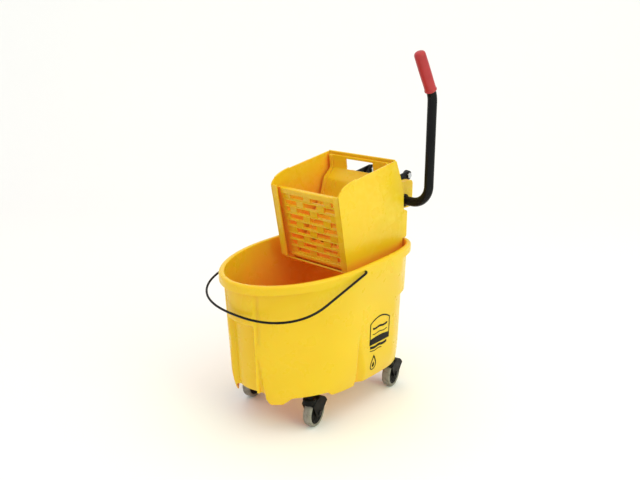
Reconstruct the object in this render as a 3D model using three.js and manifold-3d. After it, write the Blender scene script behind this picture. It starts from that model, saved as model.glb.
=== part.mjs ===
// Wheeled wash bucket with a side-press wringer. Millimetres, +Z up, floor at Z = 0.
// The pouring nose points along -Y, the wringer sits at the back (+Y), and X = 0 is the bucket's middle.
import * as THREE from "three";
import { mergeVertices } from "three/addons/utils/BufferGeometryUtils.js";
import Module from "manifold-3d";

const wasm = await Module();
wasm.setup();

// ---- Driving dimensions ----------------------------------------------------------------------

const gap = 0.3;                      // between pieces that touch
const wall = 3.5;                     // moulded wall thickness
const origin = { x: 3.35, y: -9 };   // middle of the whole part's box, in the bucket's own axes

const tub = {
  halfWidth: 170, middleY: -40, frontReach: 256, backReach: 250, backPower: 6, backTaper: 0.08,
  rimZ: 418, rimSlope: 0.05, lipOut: 14, lipDrop: 23, skirtZ: 85, floorZ: 118, floorThick: 4,
  draft: 0.03, footRoundFrom: 150, footRound: 8, columns: 88,
};
const bail = { y: -36, z: 406, reach: 283, straight: 150, halfWidth: 191, wire: 3, droop: 17.5, power: 2.4 };
const caster = { trail: 22, wheel: 38, tread: 24, topZ: 84.7, neckZ: 96.7, stem: 5.5, turn: 14,
  frontX: 116, frontY: -166, backX: 122, backY: 145 };
const wringer = { half: 120, wall: 4, hookZ: 430.6 };
const grille = { topY: -48, topZ: 578, footY: -8, footZ: 388, half: 115.4, thick: 7, rows: 9 };
const press = { hingeY: 24, hingeZ: 375, half: 108, thick: 5 };
const handle = { y: 218, z: 530, tube: 12.5, bore: 10.7, sideX: 184.5, bend: 50, gripLow: 834, topZ: 927 };
const bearing = { from: 86, to: 106 };
const crank = { x: 60, thick: 6, boltY: 281, boltZ: 585, tip: 14 };
const link = { x: 66.6, thick: 5, pinY: 143, pinZ: 560, pin: 4, eye: 14, slack: 5.5 };

// ---- Materials -------------------------------------------------------------------------------

function paint(color, roughness, metalness) {
  return new THREE.MeshStandardMaterial({ color, roughness, metalness });
}
const yellow = paint(0xf2d21c, 0.35, 0);
const redGrip = paint(0xb4222d, 0.45, 0);
const blackSteel = paint(0x141416, 0.3, 0.6);
const blackPlastic = paint(0x17171a, 0.5, 0);
const greyRubber = paint(0x6e6a5e, 0.8, 0);
const zinc = paint(0xa9adb0, 0.35, 0.9);

// ---- Helpers ---------------------------------------------------------------------------------

function meshOf(name, geometry, material) {
  const mesh = new THREE.Mesh(geometry, material);
  mesh.name = name;
  return mesh;
}

function solidOf(geometry) {
  const plain = geometry.clone();
  for (const key of Object.keys(plain.attributes)) {
    if (key !== "position") {
      plain.deleteAttribute(key);
    }
  }
  const merged = mergeVertices(plain, 1e-3);
  return new wasm.Manifold(new wasm.Mesh({
    numProp: 3,
    vertProperties: merged.attributes.position.array,
    triVerts: Uint32Array.from(merged.index.array),
  }));
}

function geometryOf(solid) {
  const mesh = solid.getMesh();
  const geometry = new THREE.BufferGeometry();
  geometry.setAttribute("position", new THREE.BufferAttribute(Float32Array.from(mesh.vertProperties), 3));
  geometry.setIndex(Array.from(mesh.triVerts));
  geometry.computeVertexNormals();
  return geometry;
}

function join(solids) {
  return solids.reduce((whole, piece) => whole.add(piece));
}

function cut(solid, tools) {
  return tools.reduce((rest, tool) => rest.subtract(tool), solid);
}

function box(x0, x1, y0, y1, z0, z1) {
  const geometry = new THREE.BoxGeometry(x1 - x0, y1 - y0, z1 - z0);
  return solidOf(geometry.translate((x0 + x1) / 2, (y0 + y1) / 2, (z0 + z1) / 2));
}

// A round bar along X, from x0 to x1, about the line through (y, z).
function barX(x0, x1, y, z, radius, sides = 24) {
  const geometry = new THREE.CylinderGeometry(radius, radius, x1 - x0, sides);
  return solidOf(geometry.rotateZ(Math.PI / 2).translate((x0 + x1) / 2, y, z));
}

function barZ(x, y, z0, z1, radius, sides = 24) {
  const geometry = new THREE.CylinderGeometry(radius, radius, z1 - z0, sides);
  return solidOf(geometry.rotateX(Math.PI / 2).translate(x, y, (z0 + z1) / 2));
}

// A flat outline in the YZ plane, given depth along X from x0 to x1.
function plateX(shape, x0, x1, curveSegments = 8) {
  const geometry = new THREE.ExtrudeGeometry(shape, { depth: x1 - x0, bevelEnabled: false, curveSegments });
  const basis = new THREE.Matrix4().makeBasis(
    new THREE.Vector3(0, 1, 0), new THREE.Vector3(0, 0, 1), new THREE.Vector3(1, 0, 0));
  return solidOf(geometry.applyMatrix4(basis).translate(x0, 0, 0));
}

function outlineOf(points) {
  return new THREE.Shape(points.map(([y, z]) => new THREE.Vector2(y, z)));
}

function circle(y, z, radius) {
  return new THREE.Path().absarc(y, z, radius, 0, Math.PI * 2);
}

// A band of even thickness to the left of a YZ line, as seen while walking along it.
function band(points, thick) {
  const line = points.map(([y, z]) => new THREE.Vector2(y, z));
  const side = line.map((point, i) => {
    const before = line[Math.max(i - 1, 0)];
    const after = line[Math.min(i + 1, line.length - 1)];
    const along = after.clone().sub(before).normalize();
    return new THREE.Vector2(-along.y, along.x).multiplyScalar(thick).add(point);
  });
  return new THREE.Shape([...line, ...side.reverse()]);
}

// Joins rings of equal length into one skin. A skin whose last ring doesn't meet its first gets flat end caps.
function skin(rings, looped) {
  const across = rings[0].length;
  const positions = rings.flat().flatMap((point) => [point.x, point.y, point.z]);
  const faces = [];
  const bands = looped ? rings.length : rings.length - 1;
  for (let row = 0; row < bands; row += 1) {
    const next = (row + 1) % rings.length;
    for (let i = 0; i < across; i += 1) {
      const j = (i + 1) % across;
      const [a, b, c, d] = [row * across + i, row * across + j, next * across + j, next * across + i];
      faces.push(a, b, c, a, c, d);
    }
  }
  if (!looped) {
    const addCap = (row, flip) => {
      const middle = rings[row].reduce((sum, point) => sum.add(point), new THREE.Vector3());
      middle.divideScalar(across);
      const hub = positions.length / 3;
      positions.push(middle.x, middle.y, middle.z);
      for (let i = 0; i < across; i += 1) {
        const edge = [row * across + i, row * across + ((i + 1) % across)];
        faces.push(hub, ...(flip ? edge.reverse() : edge));
      }
    };
    addCap(0, true);
    addCap(rings.length - 1, false);
  }
  const geometry = new THREE.BufferGeometry();
  geometry.setAttribute("position", new THREE.Float32BufferAttribute(positions, 3));
  geometry.setIndex(faces);
  geometry.computeVertexNormals();
  return geometry;
}

// Rings of the given radius square to a line of points.
function ringsAlong(points, radius, sides) {
  let across = new THREE.Vector3();
  return points.map((point, i) => {
    const before = points[Math.max(i - 1, 0)];
    const after = points[Math.min(i + 1, points.length - 1)];
    const along = after.clone().sub(before).normalize();
    if (i === 0) {
      const guess = Math.abs(along.z) > 0.5 ? new THREE.Vector3(1, 0, 0) : new THREE.Vector3(0, 0, 1);
      across.copy(guess);
    }
    across = across.clone().addScaledVector(along, -across.dot(along)).normalize();
    const up = new THREE.Vector3().crossVectors(along, across);
    return Array.from({ length: sides }, (_, k) => {
      const turn = (k / sides) * Math.PI * 2;
      return point.clone()
        .addScaledVector(across, radius * Math.cos(turn))
        .addScaledVector(up, radius * Math.sin(turn));
    });
  });
}

// Corner points with each inner corner rounded to its own radius.
function roundedLine(corners, radii, steps) {
  const points = [corners[0]];
  for (let i = 1; i < corners.length - 1; i += 1) {
    const back = corners[i - 1].clone().sub(corners[i]).normalize();
    const on = corners[i + 1].clone().sub(corners[i]).normalize();
    const half = Math.acos(THREE.MathUtils.clamp(back.dot(on), -1, 1)) / 2;
    const reach = radii[i - 1] / Math.tan(half);
    const middle = back.clone().add(on).normalize().multiplyScalar(radii[i - 1] / Math.sin(half)).add(corners[i]);
    const start = corners[i].clone().addScaledVector(back, reach).sub(middle);
    const end = corners[i].clone().addScaledVector(on, reach).sub(middle);
    const sweep = start.angleTo(end);
    for (let k = 0; k <= steps; k += 1) {
      const t = k / steps;
      points.push(start.clone().multiplyScalar(Math.sin((1 - t) * sweep) / Math.sin(sweep))
        .addScaledVector(end, Math.sin(t * sweep) / Math.sin(sweep)).add(middle));
    }
  }
  points.push(corners[corners.length - 1]);
  return points;
}

function smooth(value, from, to) {
  return THREE.MathUtils.smoothstep((value - from) / (to - from), 0, 1);
}

// ---- Bucket ----------------------------------------------------------------------------------

// The inner edge of the rim from above: half an ellipse at the nose, a squarer, tapering half at the back.
function rimCurve(angle) {
  const across = Math.cos(angle);
  const along = Math.sin(angle);
  if (along <= 0) {
    return new THREE.Vector2(tub.halfWidth * across, tub.middleY + tub.frontReach * along);
  }
  const squared = 2 / tub.backPower;
  const reach = along ** squared;
  const width = tub.halfWidth * (1 - tub.backTaper * reach * reach);
  return new THREE.Vector2(
    width * Math.sign(across) * Math.abs(across) ** squared, tub.middleY + tub.backReach * reach);
}

// Evenly spaced rim points, each with its outward direction, starting at the nose.
function rimPoints(count) {
  const dense = Array.from({ length: 4000 }, (_, i) => rimCurve(-Math.PI / 2 + (i / 4000) * Math.PI * 2));
  const closed = new THREE.Path([...dense, dense[0]]);
  const even = closed.getSpacedPoints(count).slice(0, count);
  return even.map((point, i) => {
    const along = even[(i + 1) % count].clone().sub(even[(i + count - 1) % count]).normalize();
    return { x: point.x, y: point.y, out: new THREE.Vector2(along.y, -along.x) };
  });
}

function rimHeight(y) {
  return tub.rimZ + tub.rimSlope * y;
}

// How far the outside of the wall stands in from the rim's inner edge at a height, less moulded grooves.
function wallInset(point, z) {
  const foot = Math.max(0, (tub.footRoundFrom - z) / (tub.footRoundFrom - 90));
  const atBack = smooth(point.y, 110, 180);
  const backStep = 9 * atBack * (1 - smooth(z, 284, 294));
  const draft = tub.draft + 0.02 * (1 - smooth(point.y, -230, -90));
  return -wall + draft * (rimHeight(point.y) - z) + tub.footRound * foot * foot * (1 - 0.6 * atBack) + backStep;
}

// Moulded shapes pressed into the wall: side baffles, a trough down the nose and the grooves beside it.
function pressedIn(point, z) {
  const low = THREE.MathUtils.clamp((246 - z) / 146, 0, 1);
  const side = Math.abs(point.x);
  if (point.y < -150) {
    const trough = 12 * (1 - smooth(side, 36, 48)) * (1 - smooth(z, 288, 302));
    const beside = side > 50 && side < 50 + 16 * low ? 9 * low : 0;
    return trough + beside;
  }
  const run = low > 0 ? (point.y + 36) / (34 * low) : -1;
  return side > 100 && run >= 0 && run <= 1 ? 19 * low * (1 - run) : 0;
}

// The skirt's lower edge rises over the front casters and the trough, and drops to a foot between them.
function skirtHeight(point) {
  const side = Math.abs(point.x);
  const overCaster = 12 * smooth(point.y, -240, -222) * (1 - smooth(point.y, -134, -116));
  const overTrough = 27 * (1 - smooth(side, 58, 76)) * (point.y < 0 ? 1 : 0);
  const frontFoot = 6 * smooth(side, 68, 80) * smooth(-point.y, 236, 246);
  return tub.skirtZ + Math.max(overCaster, overTrough) - frontFoot;
}

function tubRing(points, inset, height) {
  return points.map((point) => {
    const z = height(point);
    const move = inset(point, z);
    return new THREE.Vector3(point.x - point.out.x * move, point.y - point.out.y * move, z);
  });
}

function bucketShell() {
  const points = rimPoints(tub.columns);
  const outer = (point, z) => wallInset(point, z) + pressedIn(point, z);
  const inner = (point, z) => outer(point, z) + wall;
  const level = (z) => () => z;
  const underRim = (drop) => (point) => rimHeight(point.y) - drop;
  const out = (distance) => () => -distance;
  const heights = [160, 246, 284, 296, 345];
  const lip = tub.lipOut;
  const rings = [
    tubRing(points, (point, z) => inner(point, z) + 13, level(tub.floorZ)),
    tubRing(points, inner, skirtHeight),
    tubRing(points, outer, skirtHeight),
    tubRing(points, outer, level(tub.floorZ)),
    ...heights.map((z) => tubRing(points, outer, level(z))),
    tubRing(points, out(wall), underRim(tub.lipDrop)),
    tubRing(points, out(wall), underRim(4)),
    tubRing(points, out(lip - 3), underRim(4)),
    tubRing(points, out(lip - 3), underRim(tub.lipDrop)),
    tubRing(points, out(lip), underRim(tub.lipDrop)),
    tubRing(points, out(lip), underRim(4)),
    tubRing(points, out(lip - 4), underRim(0)),
    tubRing(points, out(2), underRim(0)),
    tubRing(points, out(0), underRim(4)),
    ...heights.slice().reverse().map((z) => tubRing(points, inner, level(z))),
    tubRing(points, (point, z) => inner(point, z) + 4, level(tub.floorZ + tub.floorThick)),
  ];
  const sockets = casterPlaces().map(([x, y]) => barZ(x, y, caster.neckZ + gap, tub.floorZ + 1, 9.5, 20));
  const tools = [
    ...casterPlaces().map(([x, y]) => barZ(x, y, caster.topZ, tub.floorZ + 1.5, caster.stem + gap, 16)),
    ...[-1, 1].map((side) => barX(side > 0 ? 178 : -188, side > 0 ? 188 : -178, bail.y, bail.z, bail.wire + 1)),
  ];
  return cut(join([solidOf(skin(rings, false)), ...sockets]), tools);
}

// A U of round wire. Its ends turn in through holes in the lip.
function bailWire() {
  const bow = [];
  const steps = 14;
  for (let i = -steps; i <= steps; i += 1) {
    const turn = (i / steps) * (Math.PI / 2);
    const squared = 2 / bail.power;
    const across = Math.sign(turn) * Math.abs(Math.sin(turn)) ** squared;
    const reach = bail.straight + (bail.reach - bail.straight) * Math.cos(turn) ** squared;
    bow.push(new THREE.Vector2(bail.halfWidth * across, reach));
  }
  const end = bail.halfWidth;
  const arm = [[174.5, 0], [end - 6, 0], [end - 2, 2], [end, 6]];
  const flat = [
    ...arm.map(([x, reach]) => new THREE.Vector2(-x, reach)),
    ...bow,
    ...arm.reverse().map(([x, reach]) => new THREE.Vector2(x, reach)),
  ];
  const points = flat.map((point) => new THREE.Vector3(point.x, -point.y, 0));
  const geometry = skin(ringsAlong(points, bail.wire, 8), false);
  return geometry.rotateX(THREE.MathUtils.degToRad(bail.droop)).translate(0, bail.y, bail.z);
}

// ---- Casters ---------------------------------------------------------------------------------

function casterPlaces() {
  const { frontX, frontY, backX, backY } = caster;
  return [[-frontX, frontY], [frontX, frontY], [-backX, backY], [backX, backY]];
}

// The pieces of one caster, about the foot of its stem's axis, with the wheel trailing towards +Y.
function casterStem() {
  const head = barZ(0, 0, 75.6, 77.8, 7, 16);
  return head.add(barZ(0, 0, 77.7, tub.floorZ + 1, caster.stem, 16));
}

function casterHousing() {
  const { trail, wheel, topZ, neckZ } = caster;
  const inside = wheel + 2.5;
  const outside = inside + 3.5;
  const halfWidth = 17;
  const hood = new THREE.Shape().absarc(trail, wheel, outside, 0.45, Math.PI - 0.8, false);
  hood.lineTo(trail - 10, wheel - 8);
  hood.lineTo(trail + 10, wheel - 8);
  const block = barZ(0, 0, 70, topZ, 17);
  const neck = barZ(0, 0, topZ - 2, neckZ, 9.2, 20);
  const whole = join([plateX(hood, -halfWidth, halfWidth, 14), block, neck]);
  const room = join([
    barX(-13.6, 13.6, trail, wheel, inside, 24),
    box(-13.6, 13.6, -30, trail + 60, -10, wheel),
    barZ(0, 0, 50, 78.2, 7.6),
  ]);
  const holes = [barZ(0, 0, 50, neckZ + 1, caster.stem + gap, 16), barX(-30, 30, trail, wheel, 4.3, 16)];
  return cut(whole, [room, ...holes]);
}

function casterAxle() {
  const { trail, wheel } = caster;
  return join([
    barX(-17.6, 19.2, trail, wheel, 4, 16), barX(17.3, 20, trail, wheel, 7, 16), barX(-20, -17.3, trail, wheel, 7, 16),
  ]);
}

// Turns a closed profile of (radius, x) pairs about the wheel's axle.
function wheelRing(profile, sides) {
  const geometry = new THREE.LatheGeometry(profile.map(([r, x]) => new THREE.Vector2(r, x)), sides);
  return geometry.rotateZ(-Math.PI / 2).translate(0, caster.trail, caster.wheel);
}

function casterHub() {
  return wheelRing([
    [4.3, -12.8], [9, -12.8], [12, -10.5], [27, -10.5], [30.2, -9], [30.2, 9], [27, 10.5], [12, 10.5], [9, 12.8],
    [4.3, 12.8], [4.3, -12.8],
  ], 24);
}

function casterTyre() {
  const half = caster.tread / 2;
  const top = caster.wheel;
  return wheelRing([
    [30.5, -half + 1.5], [34, -half], [top - 1.6, -half + 2.4], [top, -3], [top, 3], [top - 1.6, half - 2.4],
    [34, half], [30.5, half - 1.5], [30.5, -half + 1.5],
  ], 28);
}

function casterGroup(name, x, y) {
  const group = new THREE.Group();
  group.position.set(x, y, 0);
  group.rotation.z = THREE.MathUtils.degToRad(caster.turn);
  group.add(meshOf(`${name}_stem`, geometryOf(casterStem()), zinc));
  group.add(meshOf(`${name}_housing`, geometryOf(casterHousing()), blackPlastic));
  group.add(meshOf(`${name}_axle`, geometryOf(casterAxle()), zinc));
  group.add(meshOf(`${name}_hub`, geometryOf(solidOf(casterHub())), blackPlastic));
  group.add(meshOf(`${name}_tyre`, geometryOf(solidOf(casterTyre())), greyRubber));
  return group;
}

// ---- Wringer body ----------------------------------------------------------------------------

const backLine = [[156, 648], [167, 600], [184, 540], [193, 500], [193, wringer.hookZ + 5]];

function cheekShape() {
  const shape = new THREE.Shape();
  shape.moveTo(8, 360);
  shape.lineTo(92, 360);
  shape.lineTo(197, 405);
  shape.lineTo(197, wringer.hookZ);
  shape.lineTo(214, wringer.hookZ);
  shape.lineTo(214, 504);
  shape.lineTo(198, 511);
  shape.lineTo(196, 553);
  shape.lineTo(187, 585);
  shape.lineTo(160, 648);
  shape.lineTo(-1, 620);
  shape.quadraticCurveTo(-58, 609, -66, 585);
  shape.lineTo(-29, 385);
  return shape;
}

function wringerBody() {
  const { half, hookZ } = wringer;
  const inner = half - wringer.wall;
  const lug = outlineOf([
    [188, 508], [246, 508], [254, 518], [254, 574], [248, 582], [204, 582], [186, 560],
  ]);
  const frontFlange = outlineOf([[-66, 585], [-29, 385], [-25, 383], [-62, 585]]);
  const pieces = [
    plateX(band(backLine, wringer.wall), -inner - 1, inner + 1),
    plateX(band([[90, 360.5], [193, 404.5], [193, hookZ + 6]], wringer.wall), -inner - 1, inner + 1),
    plateX(band([[-14, 375], [9, 360], [93, 360]], wringer.wall), -inner - 1, inner + 1),
    box(-100, 100, 192, 229, hookZ, hookZ + 5),
    box(-100, 100, 225, 229, 392, hookZ + 5),
  ];
  for (const side of [-1, 1]) {
    const span = (a, b) => (side > 0 ? [a, b] : [-b, -a]);
    pieces.push(plateX(cheekShape(), ...span(inner, half), 6));
    pieces.push(plateX(lug, ...span(bearing.from, bearing.to)));
    pieces.push(plateX(frontFlange, ...span(100, half - 1)));
  }
  const slot = box(-62, 62, 120, 230, 597, 634);
  const drains = [-80, -40, 0, 40, 80].map((x) => box(x - 12, x + 12, 44, 74, 350, 368));
  const windows = [-1, 1].map((side) => box(side * 68 - 13, side * 68 + 13, 150, 200, 543, 626));
  const shaftHole = barX(-140, 140, handle.y, handle.z, handle.tube + 3 + gap);
  const hingeHole = barX(-140, 140, press.hingeY, press.hingeZ, 5 + gap, 16);
  return cut(join(pieces), [slot, ...windows, ...drains, shaftHole, hingeHole]);
}

// ---- Front grille ----------------------------------------------------------------------------

// Built flat, X across and Z up the slope with its outer face at Y = 0, then leaned forward.
function frontGrille() {
  const lean = Math.atan2(grille.footY - grille.topY, grille.topZ - grille.footZ);
  const height = Math.hypot(grille.footY - grille.topY, grille.topZ - grille.footZ);
  const pitch = (height - 18) / grille.rows;
  const open = { wide: 48, high: 14.5, every: 73, shift: 28 };
  const sheet = join([
    box(-grille.half, grille.half, 0, grille.thick, -2, height),
    box(-98, 98, -5, grille.thick + 1, height - 15, height + 1),
    box(-98, 98, -3, grille.thick, -4, 3),
  ]);
  const openings = [];
  for (let row = 0; row < grille.rows; row += 1) {
    const z = 7 + pitch * (row + 0.1);
    const first = -150 + ((row * open.shift) % open.every);
    for (let x = first; x < 100; x += open.every) {
      const from = Math.max(x, -93);
      const to = Math.min(x + open.wide, 93);
      if (to - from > 9) {
        openings.push(box(from, to, -10, 20, z, z + open.high));
      }
    }
  }
  const ribs = Array.from({ length: grille.rows + 1 }, (_, row) => {
    const z = 7 + pitch * (row + 0.1) - (pitch - open.high) / 2;
    return box(-95, 95, -3, 1, z - 1.5, z + 1.5);
  });
  const geometry = geometryOf(join([cut(sheet, openings), ...ribs.slice(0, grille.rows)]));
  return geometry.rotateX(lean).translate(0, grille.footY, grille.footZ);
}

// ---- Press plate, hinge and linkage ----------------------------------------------------------

function pressPlate() {
  const face = [
    [press.hingeY, press.hingeZ], [34, 392], [112, 530], [126, 578], [148, 597], [153, 607], [148, 641],
  ];
  const back = band(face.slice().reverse(), press.thick);
  const side = outlineOf([
    [34, 392], [112, 530], [126, 578], [148, 597], [153, 607], [148, 641], [154, 641], [159.5, 606],
    [155, 591], [134, 574], [124, 528], [48, 392],
  ]);
  const ear = outlineOf([[116, 536], [126, 536], [150, 551], [152, 566], [144, 571], [126, 578], [122, 570]]);
  const pieces = [plateX(back, -press.half, press.half), barX(-press.half, press.half, press.hingeY, press.hingeZ, 9, 20)];
  for (const x of [-press.half, -1.5, press.half - 3]) {
    pieces.push(plateX(side, x, x + 3));
  }
  for (const x of [-79, -64.2, 59.7, 74.5]) {
    pieces.push(plateX(ear, x, x + 4.5));
  }
  const slot = box(-48, 48, 130, 170, 605, 634);
  const drains = [];
  for (let row = 0; row < 4; row += 1) {
    for (const x of [-78, -39, 0, 39, 78]) {
      drains.push(box(x - 11, x + 11, -20, 140, 418 + row * 32, 426 + row * 32));
    }
  }
  const holes = [
    barX(-140, 140, press.hingeY, press.hingeZ, 5 + gap, 16),
    barX(-140, 140, link.pinY, link.pinZ, link.pin + gap, 16),
  ];
  return cut(join(pieces), [slot, ...drains, ...holes]);
}

function hingePin() {
  return join([
    barX(-123, 123, press.hingeY, press.hingeZ, 5, 16),
    barX(120.4, 124, press.hingeY, press.hingeZ, 8, 16),
    barX(-124, -120.4, press.hingeY, press.hingeZ, 8, 16),
  ]);
}

function handleLine() {
  const { y, z, sideX, gripLow, topZ } = handle;
  return [
    new THREE.Vector3(-bearing.to - 4, y, z), new THREE.Vector3(sideX, y, z),
    new THREE.Vector3(sideX, y, gripLow - 20), new THREE.Vector3(sideX, y - 62, topZ - 7),
  ];
}

function handleTube() {
  const corners = handleLine();
  const line = roundedLine(corners, [handle.bend, 55], 7);
  const outer = ringsAlong(line, handle.tube, 14);
  const inner = ringsAlong(line, handle.bore, 14);
  return skin([...outer, ...inner.reverse()], true);
}

// A sleeve over the tube's end, closed and rounded at the top.
function handleGrip() {
  const corners = handleLine();
  const along = corners[3].clone().sub(corners[2]).normalize();
  const bore = handle.tube + gap;
  const length = 104;
  const profile = [
    [bore, 0], [15.5, 0], [16.2, 2.5], [15, 6], [15, length], [13, length + 5], [8, length + 7.5],
    [0, length + 8], [0, length + 2], [bore, length + 2], [bore, 0],
  ];
  const sleeve = new THREE.LatheGeometry(profile.map(([r, d]) => new THREE.Vector2(r, d)), 20);
  const turn = new THREE.Quaternion().setFromUnitVectors(new THREE.Vector3(0, 1, 0), along);
  const foot = corners[3].clone().addScaledVector(along, -length - 1.5);
  return sleeve.applyQuaternion(turn).translate(foot.x, foot.y, foot.z);
}

function shaftBush(side) {
  const { y, z, tube } = handle;
  const span = (a, b) => (side > 0 ? [a, b] : [-b, -a]);
  const ring = join([
    barX(...span(bearing.from - 0.5, bearing.to + 2.5), y, z, tube + 3),
    barX(...span(bearing.to + gap, bearing.to + 2.6), y, z, tube + 5),
  ]);
  return cut(ring, [barX(-140, 140, y, z, tube + gap)]);
}

function sides(side, from, thick) {
  return side > 0 ? [from, from + thick] : [-from - thick, -from];
}

// A tapered arm on the shaft, drawn around its two round ends.
function crankArm(side) {
  const tilt = Math.atan2(crank.boltZ - handle.z, crank.boltY - handle.y);
  const hub = handle.tube + 7;
  const shape = new THREE.Shape();
  shape.absarc(handle.y, handle.z, hub, tilt + Math.PI / 2, tilt - Math.PI / 2, false);
  shape.absarc(crank.boltY, crank.boltZ, crank.tip, tilt - Math.PI / 2, tilt + Math.PI / 2, false);
  shape.holes.push(circle(handle.y, handle.z, handle.tube + gap));
  shape.holes.push(circle(crank.boltY, crank.boltZ, 5 + gap));
  return plateX(shape, ...sides(side, crank.x, crank.thick), 10);
}

function pushLink(side) {
  const tilt = Math.atan2(link.pinZ - crank.boltZ, link.pinY - crank.boltY);
  const shape = new THREE.Shape();
  shape.absarc(crank.boltY, crank.boltZ, 13, tilt + Math.PI / 2, tilt - Math.PI / 2, false);
  shape.absarc(link.pinY, link.pinZ, link.eye, tilt - Math.PI / 2, tilt + Math.PI / 2, false);
  shape.holes.push(circle(crank.boltY, crank.boltZ, 5 + gap));
  shape.holes.push(circle(link.pinY, link.pinZ, link.pin + link.slack));
  return plateX(shape, ...sides(side, link.x, link.thick), 10);
}

function crankBolt(side) {
  const span = (a, b) => (side > 0 ? [a, b] : [-b, -a]);
  const { boltY, boltZ } = crank;
  return join([
    barX(...span(55.5, 76.5), boltY, boltZ, 5, 16),
    barX(...span(54.5, 59.7), boltY, boltZ, 8.5, 6),
    barX(...span(71.9, 76.8), boltY, boltZ, 8.5, 6),
  ]);
}

function platePin(side) {
  const span = (a, b) => (side > 0 ? [a, b] : [-b, -a]);
  const { pinY, pinZ, pin } = link;
  return join([
    barX(...span(58, 81), pinY, pinZ, pin, 16),
    barX(...span(56.6, 59.4), pinY, pinZ, pin + 2.4, 16),
    barX(...span(79.3, 82), pinY, pinZ, pin + 2.4, 16),
  ]);
}

// ---- Assembly --------------------------------------------------------------------------------

const bucket = new THREE.Group();
bucket.position.set(-origin.x, -origin.y, 0);
bucket.add(meshOf("bucket_shell", geometryOf(bucketShell()), yellow));
bucket.add(meshOf("bail_wire", geometryOf(solidOf(bailWire())), blackSteel));

const casterNames = ["caster_front_left", "caster_front_right", "caster_back_left", "caster_back_right"];
casterPlaces().forEach(([x, y], i) => bucket.add(casterGroup(casterNames[i], x, y)));

const top = new THREE.Group();
top.add(meshOf("wringer_body", geometryOf(wringerBody()), yellow));
top.add(meshOf("front_grille", frontGrille(), yellow));
top.add(meshOf("press_plate", geometryOf(pressPlate()), yellow));
top.add(meshOf("press_hinge_pin", geometryOf(hingePin()), zinc));
top.add(meshOf("handle_tube", geometryOf(solidOf(handleTube())), blackSteel));
top.add(meshOf("handle_grip", geometryOf(solidOf(handleGrip())), redGrip));
for (const [word, side] of [["left", -1], ["right", 1]]) {
  top.add(meshOf(`shaft_bush_${word}`, geometryOf(shaftBush(side)), blackPlastic));
  top.add(meshOf(`crank_arm_${word}`, geometryOf(crankArm(side)), blackSteel));
  top.add(meshOf(`crank_bolt_${word}`, geometryOf(crankBolt(side)), zinc));
  top.add(meshOf(`push_link_${word}`, geometryOf(pushLink(side)), blackSteel));
  top.add(meshOf(`plate_pin_${word}`, geometryOf(platePin(side)), zinc));
}
bucket.add(top);

const group = new THREE.Group();
group.add(bucket);
export default group;
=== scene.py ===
"""Looks for the wheeled wash bucket with a side-press wringer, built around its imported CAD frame."""
import math

import bmesh
import bpy
import numpy as np
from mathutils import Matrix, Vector


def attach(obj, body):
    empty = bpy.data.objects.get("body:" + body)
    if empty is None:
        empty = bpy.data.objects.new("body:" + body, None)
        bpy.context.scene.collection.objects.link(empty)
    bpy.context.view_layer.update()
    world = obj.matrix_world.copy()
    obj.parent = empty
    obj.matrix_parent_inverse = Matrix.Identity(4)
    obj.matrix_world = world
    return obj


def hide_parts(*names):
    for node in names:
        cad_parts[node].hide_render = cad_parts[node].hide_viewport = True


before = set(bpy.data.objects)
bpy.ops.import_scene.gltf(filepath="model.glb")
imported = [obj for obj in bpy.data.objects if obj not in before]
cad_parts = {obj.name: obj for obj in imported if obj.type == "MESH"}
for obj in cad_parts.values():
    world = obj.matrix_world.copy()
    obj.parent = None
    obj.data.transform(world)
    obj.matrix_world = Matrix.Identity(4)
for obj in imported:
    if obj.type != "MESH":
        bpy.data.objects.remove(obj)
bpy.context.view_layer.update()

# ---- Dimensions, in millimetres, in the bucket's own axes (X = 0 middle, Z = 0 floor) ----------

ORIGIN_X, ORIGIN_Y = 3.35, -9.0       # the part's origin, as the bucket's axes have it
WALL = 3.5
GAP = 0.3
TUB = dict(half=170, middle=-40, front=256, back=250, power=6, taper=0.08, rim=418, slope=0.05, lip=14,
           lip_drop=23, skirt=85, floor=118, floor_thick=4, draft=0.03, foot_from=150, foot=8)
BAIL = dict(y=-36, z=406, reach=283, straight=150, half=191, wire=3, droop=17.5, power=2.4)
CASTER = dict(trail=22, wheel=38, tread=24, top=84.7, neck=96.7, turn=14, front=(116, -166), back=(122, 145))
WRINGER = dict(half=120, wall=4, hook=430.6)
GRILLE = dict(top=(-48, 578), foot=(-8, 388), half=115.4, thick=7, rows=9)
PRESS = dict(y=24, z=375, half=108, thick=5, pin=5)
HANDLE = dict(y=218, z=530, tube=12.5, bore=10.7, side=184.5, bend=50, grip_low=834, top=927)
BEARING = (86, 106)
CRANK = dict(x=60, thick=6, y=281, z=585, tip=14, hub=19.5, bolt=5)
LINK = dict(x=66.6, thick=5, y=143, z=560, pin=4, eye=14, slack=5.5, end=13)
BUSH = 3                              # the shaft bush's wall
COLUMNS = 360                         # points around each ring of the bucket
INK_FOOT, INK_TOP = 0.05, 0.35        # how far printing stands off the wall


def at(x, y, z):
    """A point in the bucket's axes, in millimetres, as a place in the part's frame, in metres."""
    return Vector(((x - ORIGIN_X) / 1000, (y - ORIGIN_Y) / 1000, z / 1000))


def smooth(value, start, end):
    t = np.clip((np.asarray(value, float) - start) / (end - start), 0, 1)
    return t * t * (3 - 2 * t)


# ---- Camera ------------------------------------------------------------------------------------

AZIMUTH, ELEVATION = math.radians(43.3), math.radians(16.3)
LENS = 41.855625                      # millimetres, on a 36 mm sensor
DISTANCE = 2.0                        # metres


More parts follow.
